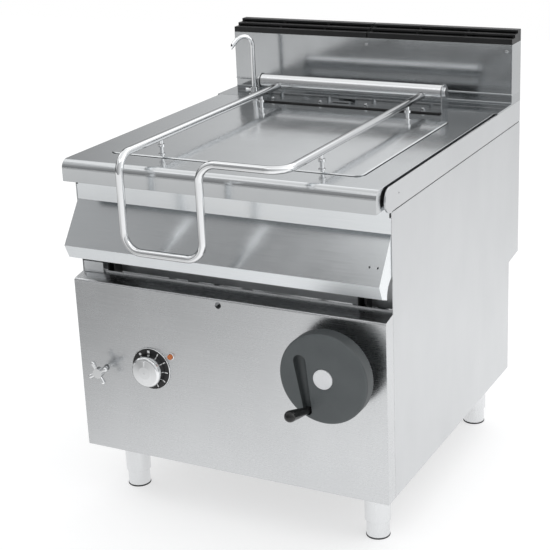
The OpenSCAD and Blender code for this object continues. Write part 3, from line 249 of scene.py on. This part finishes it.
# Each call: name, axis of the grain, dark and light colour, roughness, its spread, bump
PANEL = steel("panel_steel", "X", (0.65, 0.66, 0.67), (0.75, 0.76, 0.77), 0.27, 0.08, 0.08)
SIDE = steel("side_steel", "Z", (0.66, 0.67, 0.68), (0.74, 0.75, 0.76), 0.34, 0.08, 0.08)
TOP = steel("top_steel", "Y", (0.62, 0.64, 0.65), (0.70, 0.71, 0.72), 0.16, 0.06, 0.05,
            lean=0.03)
LID = steel("lid_steel", "Y", (0.66, 0.68, 0.69), (0.74, 0.75, 0.76), 0.15, 0.06, 0.05,
            lean=0.045)
# The hood's upright faces are painted 1.65 times brighter: painted light
HOOD = steel("hood_steel", "X", (0.53, 0.55, 0.56), (0.62, 0.63, 0.64), 0.19, 0.06, 0.06,
             upright_light_and_rough=(1.65, 0.3))
FLUE = steel("flue_steel", "X", (0.48, 0.50, 0.51), (0.58, 0.59, 0.60), 0.14, 0.06, 0.06)
INNER = steel("inner_steel", "X", (0.42, 0.43, 0.44), (0.55, 0.56, 0.57), 0.42, 0.12, 0.15)
DECK = steel("deck_steel", "X", (0.44, 0.46, 0.47), (0.53, 0.54, 0.55), 0.13, 0.05, 0.05)
# On chrome and the satin tube, side paints shade on the turned-away rims
CHROME = steel("chrome", "Z", (0.88, 0.89, 0.90), (0.95, 0.96, 0.97), 0.08, 0.05, 0.02,
               edge=0.0008, side=0.12)
TUBE = steel("satin_tube", "X", (0.82, 0.83, 0.84), (0.92, 0.93, 0.94), 0.22, 0.08, 0.05,
             side=0.3)
LEG = steel("leg_steel", "Z", (0.76, 0.77, 0.78), (0.86, 0.87, 0.88), 0.24, 0.10, 0.08)
MACHINED = steel("machined_steel", "Z", (0.36, 0.37, 0.38), (0.52, 0.53, 0.54), 0.35, 0.12, 0.20)


# Plastic, paint, cast iron and wool

# Grain: scale per axis, detail, roughness, shift
SOFT = ((14.0, 14.0, 14.0), 3.0, 0.5, 2.0)
# Grit: detail, roughness, share of the colour and depth in metres
GRIT_DETAIL = 4.0
GRIT_ROUGH = 0.65
GRIT_SHARE = 0.5
GRIT_DEPTH = 0.0003
COAT_ROUGH = 0.12
# How far broad patches are smoother or rougher than the rest
SMOOTHER = 0.05
ROUGHER = 0.07
# Normal's Y from faces that look to the front to those of the side, where rim paints shade
RIM_SHADE_Y = (-0.9, -0.5)


def coated(name, dark, light, rough, grit, bump, edge=0.001, coat=0.0, rim=1.0):
    """Plastic, paint or cast metal with a fine grit and soft wear.

    rim paints shade on the side of a piece that turns about y; edge is in metres."""
    mat, tree, shader = new_material(name)
    shader.inputs["Coat Weight"].default_value = coat
    shader.inputs["Coat Roughness"].default_value = COAT_ROUGH
    speck = grain(tree, (grit, grit, grit), GRIT_DETAIL, GRIT_ROUGH)
    broad = grain(tree, *SOFT)
    shade = maths(tree, "ADD", spread(tree, speck, 0.0, GRIT_SHARE),
                  spread(tree, broad, 0.0, 1.0 - GRIT_SHARE))
    colour = tint(tree, shade, dark, light)
    # Painted shade: the colour darkens on faces that turn away from the front
    if rim < 1.0:
        front = normal_part(tree, "Y")
        colour = scaled(tree, colour, spread(tree, front, 1.0, rim, *RIM_SHADE_Y))
    tree.links.new(colour, shader.inputs["Base Color"])
    tree.links.new(spread(tree, broad, rough - SMOOTHER, rough + ROUGHER),
                   shader.inputs["Roughness"])
    finish_surface(tree, shader, speck, bump, GRIT_DEPTH, edge)
    return mat


# Each call: name, dark and light colour, roughness, scale of the grit, bump
CAST = coated("cast_grate", (0.006, 0.006, 0.006), (0.016, 0.016, 0.017), 0.42, 420.0, 0.35)
BLACK = coated("black_paint", (0.006, 0.006, 0.006), (0.014, 0.014, 0.014), 0.45, 300.0, 0.2)
# rim paints shade on the wheel's rim side, darker than its face
WHEEL = coated("wheel_plastic", (0.082, 0.093, 0.096), (0.122, 0.134, 0.137), 0.46, 520.0, 0.35,
               rim=0.62)
GRIP = coated("grip_plastic", (0.006, 0.006, 0.006), (0.013, 0.013, 0.013), 0.22, 200.0, 0.08)
CAP = coated("white_cap", (0.86, 0.87, 0.88), (0.95, 0.95, 0.96), 0.3, 260.0, 0.06)
DIAL = coated("dial_ring", (0.008, 0.008, 0.009), (0.02, 0.02, 0.021), 0.38, 320.0, 0.15)
PLATE = coated("pale_plate", (0.84, 0.85, 0.86), (0.92, 0.93, 0.93), 0.35, 500.0, 0.05)
MARKS = coated("dial_marks", (0.88, 0.88, 0.88), (0.96, 0.96, 0.96), 0.5, 600.0, 0.1)
# Dark rubber of the foot rims, also used for black strips that are painted shade in gaps
RUBBER_AND_SHADE = coated("foot_rubber_and_shade", (0.008, 0.008, 0.008), (0.02, 0.02, 0.02), 0.7, 260.0, 0.3)
WOOL = coated("mineral_wool", (0.32, 0.28, 0.16), (0.52, 0.47, 0.30), 0.9, 700.0, 0.9, edge=0.0)
LENS = coated("lamp_lens", (0.52, 0.11, 0.012), (0.74, 0.20, 0.03), 0.18, 180.0, 0.05, coat=0.6)


# Which part has which look

LOOKS = {
    PANEL: ["front_panel", "back_panel"],
    SIDE: ["side_panel_left", "side_panel_right", "side_rail_left", "side_rail_right"],
    TOP: ["pan_worktop"],
    LID: ["lid_cover"],
    DECK: ["rear_deck"],
    PLATE: ["blank_plate"],
    HOOD: ["pan_hood"],
    FLUE: ["flue_box", "hinge_bracket"],
    INNER: ["base_frame", "splash_shield", "flue_duct", "burner_tubes", "burner_shelf",
            "pan_well", "pan_casing", "pivot_ears", "lid_liner"],
    CHROME: ["tap_base", "tap_spout", "lid_posts", "lid_handle", "hinge_pins",
             "thermostat_knob", "valve_handle", "hinge_bolts", "panel_screws"],
    TUBE: ["hinge_tube"],
    LEG: ["foot_sleeves", "foot_front_left", "foot_front_right", "foot_rear_left",
          "foot_rear_right"],
    MACHINED: ["pivot_pins", "water_pipes", "water_valve", "gas_valve", "gas_pipes",
               "drive_bearing", "worm_bearings", "tilt_sector",
               "drive_shaft", "bevel_pinion", "worm_shaft", "bevel_gear"],
    CAST: ["flue_grate_left", "flue_grate_right"],
    BLACK: ["pivot_post_left", "pivot_post_right"],
    WHEEL: ["handwheel"],
    GRIP: ["crank_grip"],
    CAP: ["wheel_cap"],
    DIAL: ["thermostat_dial"],
    MARKS: ["dial_marks"],
    WOOL: ["pan_insulation"],
    LENS: ["pilot_lamp"],
}
for look, names in LOOKS.items():
    for name in names:
        nodes[name].data.materials.clear()
        nodes[name].data.materials.append(look)


# Small pieces

RING_EDGE = 0.4


def new_piece(name, mesh, look, matrix, width, segments):
    """Object of a mesh with one look, its edges bevelled by a width in mm."""
    piece = put(name, mesh)
    piece.matrix_world = matrix
    mesh.materials.append(look)
    mod = piece.modifiers.new("bevel", "BEVEL")
    mod.width = width * MM
    mod.segments = segments
    mod.limit_method = "ANGLE"
    return piece


def lathe(name, radius, profile, place, axis, look, body, segments):
    """Closed turned ring; its profile holds (length past the radius, height) in mm."""
    mesh = bpy.data.meshes.new(name)
    form = bmesh.new()
    rings = []
    for k in range(segments):
        turn = TAU * k / segments
        outward = Vector((math.cos(turn), math.sin(turn), 0))
        rings.append([form.verts.new((outward * (radius + past) + Vector((0, 0, height))) * MM)
                      for past, height in profile])
    count = len(profile)
    for k in range(segments):
        one, two = rings[k], rings[(k + 1) % segments]
        for i in range(count):
            j = (i + 1) % count
            form.faces.new((one[i], two[i], two[j], one[j]))
    bmesh.ops.recalc_face_normals(form, faces=form.faces)
    form.to_mesh(mesh)
    form.free()
    for face in mesh.polygons:
        face.use_smooth = True
    piece = new_piece(name, mesh, look, Matrix.Translation(place) @ axis, RING_EDGE, 2)
    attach(piece, body)


def strip(name, low, high, look, body, width):
    """Block with bevelled edges between two corners in mm."""
    mesh = bpy.data.meshes.new(name)
    form = bmesh.new()
    bmesh.ops.create_cube(form, size=1.0)
    low, high = at(*low), at(*high)
    bmesh.ops.scale(form, verts=form.verts, vec=high - low)
    form.to_mesh(mesh)
    form.free()
    piece = new_piece(name, mesh, look, Matrix.Translation((low + high) / 2), width, 3)
    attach(piece, body)


# Rubber rims of the feet

UPRIGHT = Matrix.Identity(4)
FOOT_SEGMENTS = 48
FOOT_RIM = [(-1.8, 0.0), (0.4, 0.0), (0.8, 1.4), (0.5, 3.6), (-0.4, 4.0), (-1.8, 4.0)]
FEET = {"foot_fl": "foot_front_left", "foot_fr": "foot_front_right",
        "foot_rl": "foot_rear_left", "foot_rr": "foot_rear_right"}
for body, foot in FEET.items():
    (x, y, _), radius = round_part(foot)
    lathe("rim_" + body, radius, FOOT_RIM, at(x, y, 0), UPRIGHT, RUBBER_AND_SHADE, body,
          FOOT_SEGMENTS)


# Bright rings round the lamp and the dial

FORWARD = Matrix.Rotation(math.radians(90), 4, "X")
RING_SEGMENTS = 96
RINGS = {
    "lamp_ring": ("pilot_lamp", [(-2.2, 0.4), (0.4, 0.4), (0.7, 1.6), (-0.1, 3.0), (-1.5, 3.2),
                                 (-2.2, 2.6)]),
    "dial_ring": ("thermostat_dial", [(0.1, 0.4), (2.0, 0.4), (2.0, 2.4), (1.2, 3.4),
                                      (0.1, 3.4)]),
}
for name, (part, profile) in RINGS.items():
    (x, _, z), radius = round_part(part)
    lathe(name, radius, profile, at(x, 0, z), FORWARD, CHROME, "cabinet",
          RING_SEGMENTS)


# Black strips along the foot of the hinge bracket, painted shade for the gaps under and behind
# it, in mm

BRACKET_LOW, BRACKET_HIGH = box_mm("hinge_bracket")
SHADE_STRIP_IN = 3.0
SHADE_STRIP_LIFT = 0.1
SHADE_STRIP_EDGE = 0.8
FRONT_SHADE_GAP = 0.5
FRONT_SHADE_DEEP = 6.5
FRONT_SHADE_TALL = 3.5
REAR_SHADE_GAP = 0.4
REAR_SHADE_DEEP = 3.2
REAR_SHADE_TALL = 5.9
# Each shade strip: where it starts behind the front panel, its depth and its height
SHADE_STRIPS = {
    "shade_strip_front": (BRACKET_LOW.y - FRONT_SHADE_GAP - FRONT_SHADE_DEEP, FRONT_SHADE_DEEP,
                   FRONT_SHADE_TALL),
    "shade_strip_rear": (BRACKET_HIGH.y + REAR_SHADE_GAP, REAR_SHADE_DEEP, REAR_SHADE_TALL),
}
for name, (y, deep, tall) in SHADE_STRIPS.items():
    z = BRACKET_LOW.z + SHADE_STRIP_LIFT
    strip(name, (BRACKET_LOW.x + SHADE_STRIP_IN, y, z), (BRACKET_HIGH.x - SHADE_STRIP_IN, y + deep, z + tall),
          RUBBER_AND_SHADE, "pan", SHADE_STRIP_EDGE)


# Black strips in the seams between the side panels and the rear deck, painted shade for the gaps,
# in mm

PANEL_LOW, PANEL_HIGH = box_mm("side_panel_right")
DECK_LOW = box_mm("rear_deck")[0]
SEAM_IN = 1.0
SEAM_X = PANEL_HIGH.x - SEAM_IN
SEAM_HALF = 0.3
SEAM_CLEAR = 0.3
SEAM_FRONT_IN = 1.0
SEAM_REAR_IN = 22.0
SEAM_EDGE = 0.2
# Painted shade: thin black strips stand in for the shade inside the seams
for name, x in (("seam_shade_right", SEAM_X), ("seam_shade_left", -SEAM_X)):
    strip(name, (x - SEAM_HALF, PANEL_LOW.y + SEAM_FRONT_IN, PANEL_HIGH.z + SEAM_CLEAR),
          (x + SEAM_HALF, PANEL_HIGH.y - SEAM_REAR_IN, DECK_LOW.z - SEAM_CLEAR),
          RUBBER_AND_SHADE, "cabinet", SEAM_EDGE)


# Camera, fitted to corners of the photo: degrees, a place in mm and a lens in photo pixels

CAM_AZIMUTH = 27.3473
CAM_RISE = 18.2246
CAM_ROLL = -2.2109
CAM_PLACE = (1475.877, -2483.949, 1650.183)
PHOTO_PX = 550
FOCAL_PX = 1375.018
AXIS_PX_X = 295
AXIS_PX_Y = 242
SENSOR = 36


def camera():
    """Camera whose axis meets the photo a little off its middle."""
    data = bpy.data.cameras.new("camera")
    cam = put("camera", data)
    azimuth, rise, roll = (math.radians(a) for a in (CAM_AZIMUTH, CAM_RISE, CAM_ROLL))
    back = Vector((math.sin(azimuth) * math.cos(rise), -math.cos(azimuth) * math.cos(rise),
                   math.sin(rise)))
    level = Vector((math.cos(azimuth), math.sin(azimuth), 0))
    upward = back.cross(level)
    right = math.cos(roll) * level + math.sin(roll) * upward
    up = math.cos(roll) * upward - math.sin(roll) * level
    turn = Matrix((right, up, back)).transposed().to_4x4()
    cam.matrix_world = Matrix.Translation(at(*CAM_PLACE)) @ turn
    data.sensor_width = SENSOR
    data.lens = FOCAL_PX / PHOTO_PX * SENSOR
    data.shift_x = (PHOTO_PX / 2 - AXIS_PX_X) / PHOTO_PX
    data.shift_y = (AXIS_PX_Y - PHOTO_PX / 2) / PHOTO_PX
    bpy.context.scene.camera = cam


camera()


# Floor, in metres

FLOOR_HALF = 6.0
FLOOR_DROP = 0.0005
FLOOR_DARK = (0.88, 0.88, 0.88)
FLOOR_LIGHT = (0.91, 0.91, 0.91)
FLOOR_ROUGH = 0.6
FLOOR_SPECULAR = 0.1
FLOOR_GRAIN = ((3.0, 3.0, 3.0), 2.0)
# Values round a point: the point, a near and a far distance, the value near and far
GLOW = ((0, 0, 0), 0.9, 2.4, 0.62, 1.0)
# The next two paint shade into the ground that glossy rays see
GLOSS_SHADE_FRONT_LEFT = ((-1.45, -1.55, 0), 0.1, 1.7, 0.34, 1.0)
GLOSS_SHADE_FAR = ((0.6, -0.2, 0), 1.2, 3.4, 1.0, 0.86)
# Glow and lit white together as the camera sees them, and the share of glow in mirrors
SEEN_SUM = 1.08
MIRROR_GLOW = 0.7


def around(tree, point, near, far, low, high):
    """Value that goes from low to high with the distance from a point."""
    gap = add(tree, "ShaderNodeVectorMath", operation="DISTANCE")
    tree.links.new(add(tree, "ShaderNodeNewGeometry").outputs["Position"], gap.inputs[0])
    gap.inputs[1].default_value = point
    return spread(tree, gap.outputs["Value"], low, high, near, far)


def lit(tree, glow, share):
    """Emission of a strength, added to a share of plain diffuse white."""
    shine = add(tree, "ShaderNodeEmission")
    tree.links.new(glow, shine.inputs["Strength"])
    plain = add(tree, "ShaderNodeBsdfDiffuse")
    tree.links.new(share, plain.inputs["Color"])
    both = add(tree, "ShaderNodeAddShader")
    tree.links.new(shine.outputs[0], both.inputs[0])
    tree.links.new(plain.outputs[0], both.inputs[1])
    return both.outputs[0]


def ground_look():
    """Plain white to the camera but for the object's soft shadow.

    Glossy rays meet a glowing ground with painted shade: darker towards the front left, and a
    little darker far out."""
    mat, tree, shader = new_material("floor_white")
    path = add(tree, "ShaderNodeLightPath")
    shade = spread(tree, grain(tree, *FLOOR_GRAIN), 0.0, 1.0)
    shader.inputs["Roughness"].default_value = FLOOR_ROUGH
    shader.inputs["Specular IOR Level"].default_value = FLOOR_SPECULAR
    tree.links.new(tint(tree, shade, FLOOR_DARK, FLOOR_LIGHT), shader.inputs["Base Color"])
    glow = around(tree, *GLOW)
    seen = lit(tree, glow, maths(tree, "SUBTRACT", SEEN_SUM, glow))
    # Painted shade seen in reflections: the ground darkens by distance from two points
    gloss = maths(tree, "MULTIPLY", around(tree, *GLOSS_SHADE_FRONT_LEFT), around(tree, *GLOSS_SHADE_FAR))
    mirrored = lit(tree, maths(tree, "MULTIPLY", gloss, MIRROR_GLOW),
                   maths(tree, "MULTIPLY", gloss, 1.0 - MIRROR_GLOW))
    unseen = mix_shaders(tree, path.outputs["Is Glossy Ray"], shader.outputs[0], mirrored)
    surface = mix_shaders(tree, path.outputs["Is Camera Ray"], unseen, seen)
    tree.links.new(surface, tree.nodes["Material Output"].inputs["Surface"])
    return mat


def floor():
    """Flat square of ground just under the feet."""
    mesh = bpy.data.meshes.new("floor")
    form = bmesh.new()
    bmesh.ops.create_grid(form, x_segments=2, y_segments=2, size=1.0)
    form.to_mesh(mesh)
    form.free()
    ground = put("floor", mesh)
    ground.scale = (FLOOR_HALF, FLOOR_HALF, 1.0)
    ground.location = (0, 0, -FLOOR_DROP)
    mesh.materials.append(ground_look())


floor()


# Lamps: place, aim and size in metres, power in watts

LAMPS = {
    "top_light": ((0.3, 0.2, 3.6), (0, 0, 0.4), (6.6, 6.6), 96),
    "left_light": ((-3.3, 0.6, 2.3), (0, 0, 0.6), (1.6, 2.0), 16),
    "right_light": ((3.4, 0.4, 1.9), (0, 0, 0.5), (2.0, 2.4), 11.5),
}


def area_light(name, place, aim, size, power):
    """Rectangular lamp that looks at a point."""
    data = bpy.data.lights.new(name, "AREA")
    data.shape = "RECTANGLE"
    data.size, data.size_y = size
    data.energy = power
    lamp = put(name, data)
    lamp.location = place
    lamp.rotation_mode = "QUATERNION"
    lamp.rotation_quaternion = (Vector(aim) - Vector(place)).to_track_quat("-Z", "Y")


for name, (place, aim, size, power) in LAMPS.items():
    area_light(name, place, aim, size, power)


# World

WORLD_AIM = (0.75, 0.45, 0.30)
WORLD_REACH = 0.8652
WORLD_DARK = (0.26, 0.27, 0.28)
WORLD_LIGHT = (0.86, 0.87, 0.88)
GLOSS_BASE = 0.26
GLOSS_DARK = (0, 0, 0)
GLOSS_LIGHT = (1.0, 1.01, 1.02)
# Each lobe adds brightness from one direction: aim, cosine where it starts, cosine where it
# is full, and amount
GLOSS_WORLD = [
    (WORLD_AIM, -0.8, 0.8, 0.55),
    ((0.05, 0.95, 0.30), 0.75, 0.97, 0.25),
    ((0.15, 0.86, 0.48), 0.90, 0.985, 0.45),
    ((-0.90, 0.40, 0.25), 0.80, 0.98, -0.25),
    ((-0.55, 0.10, 0.05), 0.60, 0.98, -0.20),
    ((-0.85, -0.25, 0.45), 0.85, 0.97, 0.48),
    ((0.10, 0.05, 1.00), 0.72, 0.88, -0.45),
]


def toward(tree, aim):
    """Cosine of the angle between a ray's direction and an aim."""
    dot = add(tree, "ShaderNodeVectorMath", operation="DOT_PRODUCT")
    tree.links.new(add(tree, "ShaderNodeTexCoord").outputs["Generated"], dot.inputs[0])
    dot.inputs[1].default_value = Vector(aim).normalized()
    return dot.outputs["Value"]


def world():
    """Light from all round: white to the camera, grey to surfaces, lobes to glossy rays."""
    scene = bpy.context.scene
    scene.world = bpy.data.worlds.new("studio")
    scene.world.use_nodes = True
    tree = scene.world.node_tree
    tree.nodes.clear()
    shade = spread(tree, toward(tree, WORLD_AIM), 0.0, 1.0, -WORLD_REACH, WORLD_REACH)
    level = GLOSS_BASE
    for aim, low, high, amount in GLOSS_WORLD:
        level = maths(tree, "ADD", level, spread(tree, toward(tree, aim), 0.0, amount, low, high))
    path = add(tree, "ShaderNodeLightPath")
    pick = add(tree, "ShaderNodeMix", data_type="RGBA")
    tree.links.new(path.outputs["Is Glossy Ray"], pick.inputs["Factor"])
    tree.links.new(tint(tree, shade, WORLD_DARK, WORLD_LIGHT), pick.inputs["A"])
    tree.links.new(tint(tree, level, GLOSS_DARK, GLOSS_LIGHT), pick.inputs["B"])
    soft = add(tree, "ShaderNodeBackground")
    tree.links.new(pick.outputs["Result"], soft.inputs["Color"])
    white = add(tree, "ShaderNodeBackground")
    white.inputs["Color"].default_value = (1, 1, 1, 1)
    surface = mix_shaders(tree, path.outputs["Is Camera Ray"], soft.outputs[0], white.outputs[0])
    tree.links.new(surface, add(tree, "ShaderNodeOutputWorld").inputs["Surface"])


world()
bpy.context.scene.view_settings.view_transform = "Standard"
